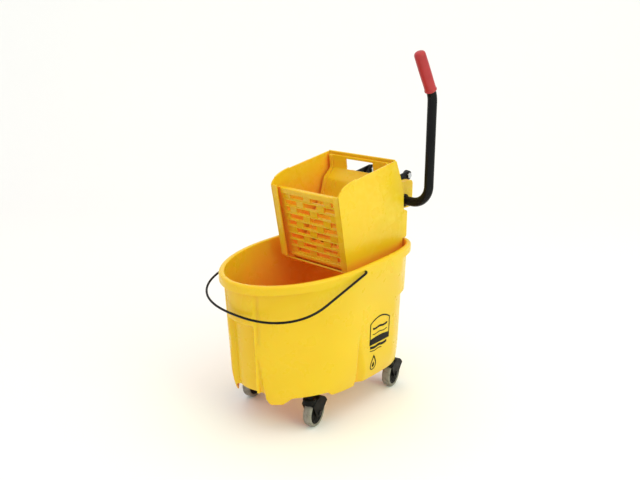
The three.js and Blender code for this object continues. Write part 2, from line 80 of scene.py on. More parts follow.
def add_camera():
    target = at(-23.2, 20.5, 433.3)
    level = math.cos(ELEVATION)
    back = Vector((math.sin(AZIMUTH) * level, -math.cos(AZIMUTH) * level, math.sin(ELEVATION)))
    data = bpy.data.cameras.new("camera")
    data.sensor_width = 36
    data.lens = LENS
    camera = bpy.data.objects.new("camera", data)
    camera.location = target + back * DISTANCE
    camera.rotation_euler = back.to_track_quat("Z", "Y").to_euler()
    bpy.context.scene.collection.objects.link(camera)
    bpy.context.scene.camera = camera


# ---- Materials ---------------------------------------------------------------------------------

class Nodes:
    """A material's node tree, with short ways to add and join nodes."""

    def __init__(self, name):
        self.material = bpy.data.materials.new(name)
        self.material.use_nodes = True
        self.tree = self.material.node_tree
        self.shader = self.tree.nodes["Principled BSDF"]
        self.place = self.add("ShaderNodeTexCoord").outputs["Object"]

    def add(self, kind, **inputs):
        node = self.tree.nodes.new(kind)
        for key, value in inputs.items():
            node.inputs[key.replace("_", " ")].default_value = value
        return node

    def join(self, source, target):
        self.tree.links.new(source, target)

    def noise(self, scale, detail=3.0, stretch=(1, 1, 1)):
        mapping = self.add("ShaderNodeMapping")
        mapping.inputs["Scale"].default_value = stretch
        self.join(self.place, mapping.inputs["Vector"])
        node = self.add("ShaderNodeTexNoise", Scale=scale, Detail=detail)
        self.join(mapping.outputs["Vector"], node.inputs["Vector"])
        return node.outputs["Fac"]

    def ramp(self, source, low, high, low_value, high_value):
        node = self.add("ShaderNodeMapRange", From_Min=low, From_Max=high,
                        To_Min=low_value, To_Max=high_value)
        self.join(source, node.inputs["Value"])
        return node.outputs["Result"]

    def math(self, operation, a, b):
        node = self.add("ShaderNodeMath")
        node.operation = operation
        for source, socket in zip((a, b), node.inputs):
            if isinstance(source, (int, float)):
                socket.default_value = source
            else:
                self.join(source, socket)
        return node.outputs[0]

    def mix(self, factor, a, b):
        node = self.add("ShaderNodeMix")
        node.data_type = "RGBA"
        self.join(factor, node.inputs["Factor"])
        for source, socket in ((a, node.inputs[6]), (b, node.inputs[7])):
            if isinstance(source, tuple):
                socket.default_value = (*source, 1)
            else:
                self.join(source, socket)
        return node.outputs[2]

    def bump(self, height, strength, distance):
        node = self.add("ShaderNodeBump", Strength=strength, Distance=distance)
        self.join(height, node.inputs["Height"])
        self.join(node.outputs["Normal"], self.shader.inputs["Normal"])

    def set(self, **values):
        for key, value in values.items():
            self.shader.inputs[key.replace("_", " ")].default_value = value


def edge_wear(n, low=0.52, high=0.60):
    """1 along worn convex edges, broken up by noise, and 0 elsewhere."""
    pointy = n.add("ShaderNodeNewGeometry").outputs["Pointiness"]
    return n.math("MULTIPLY", n.ramp(pointy, low, high, 0, 1), n.ramp(n.noise(60, 4), 0.4, 0.7, 0, 1))


def moulded_yellow():
    """Thin moulded plastic, with some subsurface light through the walls. Its shaded places, found by ambient
    occlusion, are painted a deeper orange: painted shade.
    """
    n = Nodes("moulded_yellow")
    cloud = n.ramp(n.noise(4.5, 2), 0.3, 0.7, 0, 1)
    base = n.mix(cloud, (0.71, 0.455, 0.008), (0.77, 0.505, 0.012))
    scuffs = n.ramp(n.noise(38, 6, (1, 1, 6)), 0.66, 0.78, 0, 0.16)
    scuffed = n.mix(scuffs, base, (0.84, 0.62, 0.12))
    worn = n.mix(n.math("MULTIPLY", edge_wear(n), 0.5), scuffed, (0.86, 0.63, 0.10))
    # Painted shade: where ambient occlusion finds a place shaded, its colour is painted a deeper orange.
    shade = n.add("ShaderNodeAmbientOcclusion", Distance=0.4).outputs["AO"]
    painted_shade_orange = n.mix(n.ramp(shade, 0.48, 0.12, 0, 1), worn, (0.97, 0.40, 0.045))
    n.join(painted_shade_orange, n.shader.inputs["Base Color"])
    rough = n.math("ADD", n.ramp(n.noise(22, 5), 0.3, 0.7, 0.24, 0.36), n.math("MULTIPLY", scuffs, 1.2))
    n.join(rough, n.shader.inputs["Roughness"])
    n.set(IOR=1.5, Specular_IOR_Level=0.3)
    n.set(Subsurface_Weight=0.35, Subsurface_Radius=(0.010, 0.004, 0.0006), Subsurface_Scale=1.0)
    peel = n.math("ADD", n.noise(420, 2), n.math("MULTIPLY", n.noise(16, 2), 1.5))
    n.bump(peel, 0.12, 0.0006)
    return n.material


def red_vinyl():
    n = Nodes("red_vinyl")
    cloud = n.ramp(n.noise(30, 3), 0.3, 0.7, 0, 1)
    base = n.mix(cloud, (0.33, 0.008, 0.014), (0.40, 0.014, 0.020))
    worn = n.mix(n.math("MULTIPLY", edge_wear(n), 0.35), base, (0.75, 0.10, 0.10))
    n.join(worn, n.shader.inputs["Base Color"])
    n.join(n.ramp(n.noise(90, 4), 0.3, 0.7, 0.34, 0.50), n.shader.inputs["Roughness"])
    n.bump(n.noise(700, 3), 0.18, 0.0005)
    return n.material


def black_coat():
    n = Nodes("black_coat")
    cloud = n.ramp(n.noise(12, 3), 0.3, 0.7, 0, 1)
    base = n.mix(cloud, (0.0035, 0.0035, 0.004), (0.007, 0.007, 0.008))
    worn = n.mix(n.math("MULTIPLY", edge_wear(n, 0.56, 0.66), 0.3), base, (0.06, 0.06, 0.063))
    n.join(worn, n.shader.inputs["Base Color"])
    n.join(n.ramp(n.noise(45, 4), 0.3, 0.7, 0.16, 0.28), n.shader.inputs["Roughness"])
    n.set(Specular_IOR_Level=0.12)
    n.bump(n.noise(260, 2), 0.08, 0.0006)
    return n.material


def black_moulding():
    n = Nodes("black_moulding")
    cloud = n.ramp(n.noise(25, 3), 0.3, 0.7, 0, 1)
    base = n.mix(cloud, (0.004, 0.0038, 0.0036), (0.009, 0.0085, 0.008))
    dusty = n.mix(n.ramp(n.noise(50, 6), 0.55, 0.8, 0, 0.18), base, (0.06, 0.057, 0.05))
    n.join(dusty, n.shader.inputs["Base Color"])
    n.join(n.ramp(n.noise(70, 4), 0.3, 0.7, 0.38, 0.55), n.shader.inputs["Roughness"])
    n.set(Specular_IOR_Level=0.08)
    n.bump(n.noise(900, 3), 0.25, 0.0005)
    return n.material


def grey_rubber():
    n = Nodes("grey_rubber")
    cloud = n.ramp(n.noise(40, 4), 0.3, 0.7, 0, 1)
    base = n.mix(cloud, (0.20, 0.18, 0.145), (0.29, 0.265, 0.22))
    dirty = n.mix(n.ramp(n.noise(120, 6), 0.52, 0.75, 0, 0.7), base, (0.07, 0.063, 0.05))
    n.join(dirty, n.shader.inputs["Base Color"])
    n.join(n.ramp(n.noise(150, 4), 0.3, 0.7, 0.55, 0.8), n.shader.inputs["Roughness"])
    n.bump(n.noise(600, 5), 0.4, 0.0006)
    return n.material


def zinc_plate():
    n = Nodes("zinc_plate")
    grain = n.ramp(n.noise(160, 5, (1, 6, 6)), 0.3, 0.7, 0, 1)
    base = n.mix(grain, (0.42, 0.43, 0.45), (0.62, 0.63, 0.65))
    n.join(base, n.shader.inputs["Base Color"])
    n.join(n.ramp(n.noise(90, 4), 0.3, 0.7, 0.22, 0.42), n.shader.inputs["Roughness"])
    n.set(Metallic=1.0)
    n.bump(grain, 0.1, 0.0003)
    return n.material


def printed_ink():
    n = Nodes("printed_ink")
    base = n.mix(n.ramp(n.noise(200, 5), 0.55, 0.8, 0, 0.5), (0.006, 0.005, 0.004), (0.03, 0.024, 0.012))
    n.join(base, n.shader.inputs["Base Color"])
    n.join(n.ramp(n.noise(80, 3), 0.3, 0.7, 0.35, 0.5), n.shader.inputs["Roughness"])
    n.set(Specular_IOR_Level=0.1)
    n.bump(n.noise(900, 2), 0.1, 0.0002)
    return n.material


YELLOW = moulded_yellow()
RED = red_vinyl()
COAT = black_coat()
MOULDING = black_moulding()
RUBBER = grey_rubber()
ZINC = zinc_plate()
INK = printed_ink()


# ---- Mesh helpers. A solid is a pair of lists, its points and its faces ------------------------

def together(solids):
    points, faces = [], []
    for more_points, more_faces in solids:
        start = len(points)
        points.extend(more_points)
        faces.extend([tuple(start + i for i in face) for face in more_faces])
    return points, faces


def moved(solid, change):
    return [change(*point) for point in solid[0]], solid[1]


def lofted(rings, looped=False):
    """A skin over rings of equal length, with flat ends unless the last ring meets the first."""
    across = len(rings[0])
    points = [tuple(point) for ring in rings for point in ring]
    faces = []
    for row in range(len(rings) if looped else len(rings) - 1):
        here, there = row * across, (row + 1) % len(rings) * across
        for i in range(across):
            j = (i + 1) % across
            faces.append((here + i, here + j, there + j, there + i))
    if not looped:
        faces.append(tuple(range(across))[::-1])
        faces.append(tuple((len(rings) - 1) * across + i for i in range(across)))
    return points, faces


def rings_along(line, radius, sides):
    """Rings square to a line of points. The radius is one number, or one for each point."""
    line = [Vector(point) for point in line]
    radii = radius if hasattr(radius, "__len__") else [radius] * len(line)
    across, rings = None, []
    for i, point in enumerate(line):
        along = (line[min(i + 1, len(line) - 1)] - line[max(i - 1, 0)]).normalized()
        if across is None:
            across = Vector((1, 0, 0)) if abs(along.z) > 0.5 else Vector((0, 0, 1))
        across = (across - along * across.dot(along)).normalized()
        up = along.cross(across)
        turns = [2 * math.pi * k / sides for k in range(sides)]
        rings.append([point + (across * math.cos(t) + up * math.sin(t)) * radii[i] for t in turns])
    return rings


def turned(profile, foot, along, sides=64, looped=False):
    """A profile of (radius, distance) pairs turned about a line from foot along a direction."""
    along = Vector(along).normalized()
    side = along.orthogonal().normalized()
    up = along.cross(side)
    rings = []
    for radius, distance in profile:
        middle = Vector(foot) + along * distance
        turns = [2 * math.pi * k / sides for k in range(sides)]
        rings.append([middle + (side * math.cos(t) + up * math.sin(t)) * radius for t in turns])
    return lofted(rings, looped)


def rounded(corners, radii, steps=8):
    """Corner points, of a closed outline in 2-D or an open line in 3-D, with rounded corners."""
    closed = len(corners[0]) == 2
    corners = [Vector(corner).to_3d() for corner in corners]
    radii = radii if hasattr(radii, "__len__") else [radii] * len(corners)
    line = []
    for i, corner in enumerate(corners):
        if radii[i] == 0 or (not closed and i in (0, len(corners) - 1)):
            line.append(corner)
            continue
        back = (corners[i - 1] - corner).normalized()
        on = (corners[(i + 1) % len(corners)] - corner).normalized()
        half = back.angle(on) / 2
        middle = corner + (back + on).normalized() * radii[i] / math.sin(half)
        start = corner + back * radii[i] / math.tan(half) - middle
        end = corner + on * radii[i] / math.tan(half) - middle
        sweep = start.angle(end)
        for k in range(steps + 1):
            t = k / steps
            spoke = start * math.sin((1 - t) * sweep) + end * math.sin(t * sweep)
            line.append(middle + spoke / math.sin(sweep))
    return [(point.x, point.y) for point in line] if closed else line


def circle(y, z, radius, sides=48):
    return [(y + radius * math.cos(2 * math.pi * k / sides), z + radius * math.sin(2 * math.pi * k / sides))
            for k in range(sides)]


def plate(outline, x0, x1, holes=()):
    """An outline in the YZ plane, with holes, given depth along X."""
    bm = bmesh.new()
    edges = []
    for loop in (outline, *holes):
        ends = [bm.verts.new((x0, y, z)) for y, z in loop]
        edges += [bm.edges.new((ends[i - 1], ends[i])) for i in range(len(ends))]
    bmesh.ops.triangle_fill(bm, use_beauty=True, use_dissolve=False, edges=edges)
    grown = bmesh.ops.extrude_face_region(bm, geom=bm.faces[:])["geom"]
    far = [item for item in grown if isinstance(item, bmesh.types.BMVert)]
    bmesh.ops.translate(bm, verts=far, vec=(x1 - x0, 0, 0))
    bm.verts.index_update()
    solid = [tuple(v.co) for v in bm.verts], [tuple(v.index for v in face.verts) for face in bm.faces]
    bm.free()
    return solid


def block(x0, x1, y0, y1, z0, z1):
    return plate([(y0, z0), (y1, z0), (y1, z1), (y0, z1)], x0, x1)


class Profile:
    """A line in the YZ plane that sheets follow: place(x, s, t) is s along it and t to its left."""

    def __init__(self, points):
        self.points = np.array(points, float)
        steps = np.hypot(*np.diff(self.points, axis=0).T)
        self.lengths = np.concatenate([[0], np.cumsum(steps)])
        along = np.gradient(self.points, axis=0)
        along /= np.hypot(*along.T)[:, None]
        self.left = np.stack([-along[:, 1], along[:, 0]], 1)

    def place(self, x, s, t):
        y, z = (np.interp(s, self.lengths, self.points[:, k]) for k in (0, 1))
        across = [np.interp(s, self.lengths, self.left[:, k]) for k in (0, 1)]
        size = math.hypot(*across)
        return (x, y + across[0] / size * t, z + across[1] / size * t)

    def at_height(self, z):
        order = np.argsort(self.points[:, 1])
        return float(np.interp(z, self.points[order, 1], self.lengths[order]))


def perforated(xs, ss, openings, place, near, far):
    """A sheet between the cut lines xs and ss, less its openings (x0, x1, s0, s1), from depth near to far."""
    xs = sorted(set(xs) | {x for o in openings for x in o[:2]})
    ss = sorted(set(ss) | {s for o in openings for s in o[2:]})
    middle = lambda values, i: (values[i] + values[i + 1]) / 2
    solid = [[not any(o[0] < middle(xs, i) < o[1] and o[2] < middle(ss, j) < o[3] for o in openings)
              for j in range(len(ss) - 1)] for i in range(len(xs) - 1)]
    points, index, faces = [], {}, []

    def corner(i, j, depth):
        if (i, j, depth) not in index:
            index[i, j, depth] = len(points)
            points.append(place(xs[i], ss[j], depth))
        return index[i, j, depth]

    def filled(i, j):
        return 0 <= i < len(xs) - 1 and 0 <= j < len(ss) - 1 and solid[i][j]

    for i in range(len(xs) - 1):
        for j in range(len(ss) - 1):
            if not solid[i][j]:
                continue
            loop = [(i, j), (i + 1, j), (i + 1, j + 1), (i, j + 1)]
            faces.append([corner(*ends, near) for ends in loop])
            faces.append([corner(*ends, far) for ends in reversed(loop)])
            for k, beside in enumerate([(i, j - 1), (i + 1, j), (i, j + 1), (i - 1, j)]):
                if not filled(*beside):
                    a, b = loop[k], loop[(k + 1) % 4]
                    faces.append([corner(*b, near), corner(*a, near), corner(*a, far), corner(*b, far)])
    return points, [tuple(face) for face in faces]


def piece(name, solid, material, body, bevel=0.0, segments=2, replaces=(), sharp=38):
    """A finished object: edges rounded by a bevel in millimetres, smooth shading, riding on a body."""
    mesh = bpy.data.meshes.new(name)
    mesh.from_pydata([at(*point) for point in solid[0]], [], solid[1])
    bm = bmesh.new()
    bm.from_mesh(mesh)
    bmesh.ops.remove_doubles(bm, verts=bm.verts, dist=2e-6)
    bmesh.ops.recalc_face_normals(bm, faces=bm.faces)
    bm.to_mesh(mesh)
    bm.free()
    obj = bpy.data.objects.new(name, mesh)
    bpy.context.scene.collection.objects.link(obj)
    if bevel:
        rounding = obj.modifiers.new("rounding", "BEVEL")
        rounding.width = bevel / 1000
        rounding.segments = segments
        rounding.limit_method = "ANGLE"
        rounding.angle_limit = math.radians(30)
        rounding.use_clamp_overlap = True
        depsgraph = bpy.context.evaluated_depsgraph_get()
        obj.data = bpy.data.meshes.new_from_object(obj.evaluated_get(depsgraph))
        obj.modifiers.clear()
    obj.data.shade_smooth()
    obj.data.set_sharp_from_angle(angle=math.radians(sharp))
    normals = obj.modifiers.new("normals", "WEIGHTED_NORMAL")
    normals.keep_sharp = True
    obj.data.materials.clear()
    obj.data.materials.append(material)
    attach(obj, body)
    if replaces:
        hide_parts(*replaces)
    return obj


def cut_out(solid, tool):
    """The first solid less the second."""
    made = []
    for points, faces in (solid, tool):
        mesh = bpy.data.meshes.new("cutting")
        mesh.from_pydata([Vector(point) / 100 for point in points], [], faces)
        bm = bmesh.new()
        bm.from_mesh(mesh)
        bmesh.ops.recalc_face_normals(bm, faces=bm.faces)
        bm.to_mesh(mesh)
        bm.free()
        obj = bpy.data.objects.new("cutting", mesh)
        bpy.context.scene.collection.objects.link(obj)
        made.append(obj)
    modifier = made[0].modifiers.new("cut", "BOOLEAN")
    modifier.operation = "DIFFERENCE"
    modifier.solver = "EXACT"
    modifier.object = made[1]
    depsgraph = bpy.context.evaluated_depsgraph_get()
    result = made[0].evaluated_get(depsgraph).to_mesh()
    out = [tuple(v.co * 100) for v in result.vertices], [tuple(face.vertices) for face in result.polygons]
    for obj in made:
        bpy.data.objects.remove(obj)
    return out


# ---- Bucket ------------------------------------------------------------------------------------

def rim_line(count):
    """Evenly spaced points of the rim's inner edge from above, starting at the nose, with directions out."""
    turn = np.linspace(-math.pi / 2, 1.5 * math.pi, 12001)
    across, along = np.cos(turn), np.sin(turn)
    squared = 2 / TUB["power"]
    reach = np.maximum(along, 0) ** squared
    x = np.where(along <= 0, TUB["half"] * across,
                 TUB["half"] * (1 - TUB["taper"] * reach ** 2) * np.sign(across) * np.abs(across) ** squared)
    y = TUB["middle"] + np.where(along <= 0, TUB["front"] * along, TUB["back"] * reach)
    length = np.concatenate([[0], np.cumsum(np.hypot(np.diff(x), np.diff(y)))])
    spots = np.linspace(0, length[-1], count, endpoint=False)
    px, py = np.interp(spots, length, x), np.interp(spots, length, y)
    dx, dy = np.roll(px, -1) - np.roll(px, 1), np.roll(py, -1) - np.roll(py, 1)
    size = np.hypot(dx, dy)
    return px, py, dy / size, -dx / size


RIM_X, RIM_Y, OUT_X, OUT_Y = rim_line(COLUMNS)
RIM_Z = TUB["rim"] + TUB["slope"] * RIM_Y


def lip_flare(z):
    """How far the outside swells along the flanks to meet the rolled lip."""
    along_side = smooth(RIM_Y, -225, -165) * (1 - smooth(RIM_Y, 120, 170))
    return (TUB["lip"] - WALL) * along_side * smooth(z, RIM_Z - 150, RIM_Z - 22) ** 1.3


def wall_inset(z):
    """How far the outside of the plain wall stands in from the rim's inner edge, at each column."""
    foot = np.maximum(0, (TUB["foot_from"] - z) / (TUB["foot_from"] - 90))
    at_back = smooth(RIM_Y, 110, 180)
    back_step = 9 * at_back * (1 - smooth(z, 284, 294))
    draft = TUB["draft"] + 0.02 * (1 - smooth(RIM_Y, -230, -90))
    foot_curve = TUB["foot"] * foot ** 2 * (1 - 0.6 * at_back)
    return -WALL + draft * (RIM_Z - z) + foot_curve + back_step - lip_flare(z)


def pressed_in(z):
    """Moulded shapes in the wall: side baffles, the trough down the nose and the grooves beside it."""
    low = np.clip((246 - z) / 146, 0, 1)
    side = np.abs(RIM_X)
    nose = RIM_Y < -150
    trough = 12 * (1 - smooth(side, 38, 47)) * (1 - smooth(z, 288, 298))
    edge = 50 + 16 * low
    beside = 9 * low * smooth(side, 49, 51.5) * (1 - smooth(side, edge - 1.5, edge + 1.5))
    crease = 4 * smooth(side, 49, 50.5) * (1 - smooth(side, 55, 59))
    crease = crease * smooth(z, 240, 250) * (1 - smooth(z, 372, 384))
    run = np.where(low > 0, (RIM_Y + 36) / (34 * np.maximum(low, 0.01)), -1)
    side_groove = 19 * low * smooth(run, -0.05, 0.03) * (1 - np.clip(run, 0, 1)) * (side > 100)
    ridge = -1.5 * smooth(side, 46, 47.5) * (1 - smooth(side, 48.5, 50)) * smooth(low, 0, 0.05)
    return np.where(nose, trough + beside + crease + ridge, side_groove)


def skirt_height():
    side = np.abs(RIM_X)
    over_caster = 12 * smooth(RIM_Y, -240, -222) * (1 - smooth(RIM_Y, -134, -116))
    over_trough = 27 * (1 - smooth(side, 58, 76)) * (RIM_Y < 0)
    front_foot = 6 * smooth(side, 68, 80) * smooth(-RIM_Y, 236, 246)
    return TUB["skirt"] + np.maximum(over_caster, over_trough) - front_foot


def outer_wall(z):
    return wall_inset(z) + pressed_in(z)


def tub_ring(inset, z):
    z = np.broadcast_to(z, RIM_X.shape)
    return np.stack([RIM_X - OUT_X * inset, RIM_Y - OUT_Y * inset, z], 1)


def bucket_skin():
    floor, top = TUB["floor"], TUB["floor"] + TUB["floor_thick"]
    lip, drop = TUB["lip"], TUB["lip_drop"]
    skirt = skirt_height()
    rings = []

    def flat_rings(z, first, inwards):
        """The floor's flat rings, from the middle out or from the wall in."""
        line = []
        for share in (0.08, 0.3, 0.6, 0.85):
            ring = first.copy()
            ring[:, 0] *= share
            ring[:, 1] = TUB["middle"] + (ring[:, 1] - TUB["middle"]) * share
            ring[:, 2] = z
            line.append(ring)
        return line[::-1] if inwards else line

    def inner(z):
        return outer_wall(z) + WALL

    under = tub_ring(inner(floor) + 13, floor)
    rings += flat_rings(floor, under, False)
    rings += [under, tub_ring(inner(floor - 1) + 1.5, floor - 0.6)]
    for share in (0.12, 0.4, 0.75):
        z = floor - 2 + (skirt + 1 - floor) * share
        rings.append(tub_ring(inner(z), z))
    rings.append(tub_ring(inner(skirt) - 0.4, skirt + 0.4))
    rings.append(tub_ring(inner(skirt) - 1.2, skirt))
    rings.append(tub_ring(outer_wall(skirt) + 1.0, skirt))
    rings.append(tub_ring(outer_wall(skirt) + 0.2, skirt + 0.5))
    for share in (0.08, 0.35, 0.7):
        z = skirt + (floor + 4 - skirt) * share
        rings.append(tub_ring(outer_wall(z), z))
    under_lip = RIM_Z - drop
    for share in np.linspace(0, 1, 58):
        z = (floor + 4) + (under_lip - floor - 4) * share
        rings.append(tub_ring(outer_wall(z), z))
    base = -outer_wall(under_lip)
    for out, below in ((0.25, 0.3), (0.6, 0.2), (0.92, 0.0)):
        rings.append(tub_ring(-(base + (lip - base) * out), under_lip - below))
    rolled = ((lip - 0.2, drop - 1), (lip, drop - 3), (lip, 12), (lip, 7), (lip - 0.4, 4.6),
              (lip - 1.4, 2.6), (lip - 3, 1.1), (lip - 5, 0.3), (lip - 7.5, 0), (4.5, 0), (2.6, 0.3),
              (1.2, 1.1), (0.3, 2.6), (0, 4.6))
    for out, below in rolled:
        rings.append(tub_ring(np.full(COLUMNS, -float(out)), RIM_Z - below))
    bowl, corner = RIM_Z - 16, 12
    for share in np.linspace(0, 1, 44):
        z = bowl + (top + corner - bowl) * share
        rings.append(tub_ring(np.maximum(inner_wall(z), 0), z))
    for turn in np.linspace(12, 90, 6):
        t = math.radians(turn)
        z = top + corner * (1 - math.sin(t))
        rings.append(tub_ring(np.maximum(inner_wall(z), 0) + corner * (1 - math.cos(t)), z))
    rings += flat_rings(top, rings[-1], True)
    return lofted(rings)


def inner_wall(z):
    """The inside of the wall: parallel to the outside, but without the outside's flare under the lip."""
    return outer_wall(z) + lip_flare(z) + WALL


def add_bucket():
    piece("bucket_moulding", bucket_skin(), YELLOW, "bucket", replaces=["bucket_shell"], sharp=46)
    rise = TUB["floor"] - CASTER["neck"] + 0.5
    profile = [(5.8, 0), (8.7, 0), (9.5, 0.8), (9.5, rise), (5.8, rise)]
    sockets = [turned(profile, (x, y, CASTER["neck"] + GAP), (0, 0, 1), 48, True)
               for _, x, y in caster_places()]
    piece("caster_sockets", together(sockets), YELLOW, "bucket")


def add_label():
    """Generic printed panels on both flanks: a framed shield, a band and lines, and a drop. No lettering."""
    for side in (-1, 1):
        columns = [i for i in range(COLUMNS) if RIM_X[i] * side > 100 and -60 < RIM_Y[i] < 150]
        columns.sort(key=lambda i: RIM_Y[i])
        ys = RIM_Y[columns]

        def on_wall(y, z, lift):
            inset = np.interp(y, ys, outer_wall(np.full(COLUMNS, float(z)))[columns]) - lift
            px, ox, oy = (np.interp(y, ys, values[columns]) for values in (RIM_X, OUT_X, OUT_Y))
            return (px - ox * inset, y - oy * inset, z)

        def strip(low, high):
            """A thin raised band between two lines of (y, z) points."""
            rings = []
            for (y0, z0), (y1, z1) in zip(low, high):
                rings.append([on_wall(y0, z0, INK_FOOT), on_wall(y1, z1, INK_FOOT),
                              on_wall(y1, z1, INK_TOP), on_wall(y0, z0, INK_TOP)])
            return lofted(rings)

        def crown(y):
            return 246 + 16 * (1 - ((y - 50) / 44) ** 2)

        spans = np.linspace(7, 93, 28)
        solids = [strip([(y, crown(y) - 4) for y in spans], [(y, crown(y)) for y in spans]),
                  strip([(y, 186) for y in spans], [(y, 202 + 4 * math.sin((y - 7) / 27)) for y in spans])]
        for edge in (7, 89.5):
            heights = np.linspace(187, crown(edge + 1.5) - 1, 14)
            solids.append(strip([(edge, z) for z in heights], [(edge + 3.5, z) for z in heights]))
        bars = ((228, 19, 82, 5.5), (214, 19, 82, 2.4), (174, 10, 82, 7.5), (167, 10, 60, 2.4))
        for z, first, last, thick in bars:
            line = np.linspace(first, last, 20)
            solids.append(strip([(y, z + 1.2 * math.sin(y / 6)) for y in line],
                                [(y, z + thick + 1.2 * math.sin(y / 6)) for y in line]))
        turns = [2 * math.pi * k / 40 for k in range(41)]
        drop = [(28 + 17 * math.sin(t) * math.sin(t / 2) ** 1.2, 133 + 23 * math.cos(t)) for t in turns]
        hollow = [(28 + (y - 28) * 0.72, 130.5 + (z - 133) * 0.76) for y, z in drop]
        core = [(28 + (y - 28) * 0.34, 127 + (z - 133) * 0.36) for y, z in drop]
        middle = [(28, 127)] * len(core)
        solids += [strip(hollow, drop), strip(middle, core)]
        word = "right" if side > 0 else "left"
        piece(f"printed_panel_{word}", together(solids), INK, "bucket")


def add_bail():
    steps = 60
    bow = []
    squared = 2 / BAIL["power"]
    for i in range(-steps, steps + 1):
        t = i / steps * math.pi / 2
        across = math.copysign(abs(math.sin(t)) ** squared, t)
        forwards = math.cos(t) ** squared
        bow.append((BAIL["half"] * across, BAIL["straight"] + (BAIL["reach"] - BAIL["straight"]) * forwards))
    end = BAIL["half"]
    arm = [(174.6, 0), (end - 8, 0), (end - 4.5, 0.6), (end - 2, 2.2), (end - 0.5, 4.8), (end, 8)]
    flat = [(-x, reach) for x, reach in arm] + bow + [(x, reach) for x, reach in arm[::-1]]
    tilt = math.radians(BAIL["droop"])
    line = [(x, BAIL["y"] - reach * math.cos(tilt), BAIL["z"] - reach * math.sin(tilt)) for x, reach in flat]
    wire = lofted(rings_along(line, BAIL["wire"], 20))
    piece("bail_rod", wire, COAT, "bail", bevel=0.5, replaces=["bail_wire"], sharp=50)


# ---- Casters -----------------------------------------------------------------------------------

def caster_places():
    return [(f"caster_{end}_{word}", side * CASTER[end][0], CASTER[end][1])
            for end in ("front", "back") for word, side in (("left", -1), ("right", 1))]


def hood_solid():
    trail, wheel, top, tip = CASTER["trail"], CASTER["wheel"], CASTER["top"], CASTER["neck"]
    outside = wheel + 6
    arc = [0.45 + (math.pi - 1.25) * k / 40 for k in range(41)]
    outline = [(trail + outside * math.cos(t), wheel + outside * math.sin(t)) for t in arc]
    legs = rounded([outline[-1], (trail - 10, wheel - 8), (trail + 10, wheel - 8), outline[0]], [0, 7, 7, 0])
    half, room_half = 17, 13.6
    hood = plate(outline + legs[1:-1], -half, half)
    room_line = [(0.01, -room_half), (wheel + 2.5, -room_half), (wheel + 2.5, room_half), (0.01, room_half)]
    room = turned(room_line, (0, trail, wheel), (1, 0, 0), 72)
    open_below = block(-room_half, room_half, -60, trail + 70, -20, wheel + 1)
    shell = cut_out(cut_out(hood, room), open_below)
    neck_profile = [(6, 70), (15.5, 70), (17, 71.5), (17, top - 1.2), (16, top), (9.2, top),
                    (9.2, tip - 0.6), (8.6, tip), (6, tip)]
    neck = cut_out(turned(neck_profile, (0, 0, 0), (0, 0, 1), 56, True), room)
    return shell, neck


def two_sided(side):
    """A profile that is the same on both sides of the wheel's middle, from one side's half of it."""
    return [(radius, -out) for radius, out in side] + side[::-1]


def hub_solid(centre):
    side = [(4.4, 12.6), (8.6, 12.6), (9.4, 12.0), (10.4, 10.6), (12.5, 10.2), (24.5, 10.2), (25.6, 10.9),
            (28.6, 10.9), (30.0, 9.8), (30.1, 8.6)]
    solids = [turned(two_sided(side), centre, (1, 0, 0), 72, True)]
    spokes = 10
    for k in range(spokes):
        turn = 2 * math.pi * k / spokes
        cos, sin = math.cos(turn), math.sin(turn)
        for x in (-11.2, 9.9):
            rib = block(x, x + 1.3, 11, 25, -1.1, 1.1)
            solids.append(moved(rib, lambda x, y, z, c=cos, s=sin:
                                (x, centre[1] + y * c - z * s, centre[2] + y * s + z * c)))
    return together(solids)


def tyre_solid(centre):
    half = CASTER["tread"] / 2
    side = [(30.6, 1.6), (32.2, 0.7), (34.2, 0.1), (35.8, 0.8), (37.0, 2.4), (37.6, 4.6), (37.9, 8.0),
            (38.0, 10.6)]
    return turned(two_sided([(radius, half - in_by) for radius, in_by in side]), centre, (1, 0, 0), 96, True)


def add_casters():
    trail, wheel = CASTER["trail"], CASTER["wheel"]
    centre = (0, trail, wheel)
    shell, neck = hood_solid()
    hub, tyre = hub_solid(centre), tyre_solid(centre)
    arc = [0.47 + (math.pi - 1.29) * k / 36 for k in range(37)]
    brim_radius = 42.4
    edges = [[(x, trail + brim_radius * math.cos(t), wheel + brim_radius * math.sin(t)) for t in arc]
             for x in (-16.6, 16.6)]
    brim = together([lofted(rings_along(edge, 1.7, 12)) for edge in edges])
    bolt = [(0.4, 20), (5.2, 20), (6.6, 19.4), (7.0, 18.4), (7.0, 17.4), (4, 17.3)]
    axle = turned(two_sided(bolt), centre, (1, 0, 0), 40)
    cos, sin = math.cos(math.radians(CASTER["turn"])), math.sin(math.radians(CASTER["turn"]))
    for name, dx, dy in caster_places():
        def put(x, y, z):
            return (dx + x * cos - y * sin, dy + x * sin + y * cos, z)
        swivel, spin = f"{name}_swivel", f"{name}_wheel"
        piece(f"{name}_hood", moved(shell, put), MOULDING, swivel, 1.4, 3, [f"{name}_housing"])
        piece(f"{name}_neck", moved(neck, put), MOULDING, swivel, 0.6, 2)
        piece(f"{name}_brim", moved(brim, put), MOULDING, swivel)
        piece(f"{name}_bolt", moved(axle, put), COAT, swivel, 0.2, 2, [f"{name}_axle"])
        piece(f"{name}_disc", moved(hub, put), MOULDING, spin, 0.3, 2, [f"{name}_hub"])
        piece(f"{name}_tread", moved(tyre, put), RUBBER, spin, 0, 2, [f"{name}_tyre"])
        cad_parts[f"{name}_stem"].data.materials[0] = ZINC


# ---- Wringer -----------------------------------------------------------------------------------

BACK_WALL = Profile([(156, 648), (160, 630), (167, 600), (175.5, 570), (184, 540), (190, 515), (193, 500),
                     (193, 480), (193, 455), (193, 434)])
PRESS_FACE = Profile([(24, 375), (34, 392), (54, 427), (75, 464), (95, 499), (112, 530), (119, 554),
                      (124.6, 573.5), (128.5, 580.4), (138, 588.5), (147, 596.4), (151.8, 603),
                      (152.8, 610), (151, 620), (148, 641)])


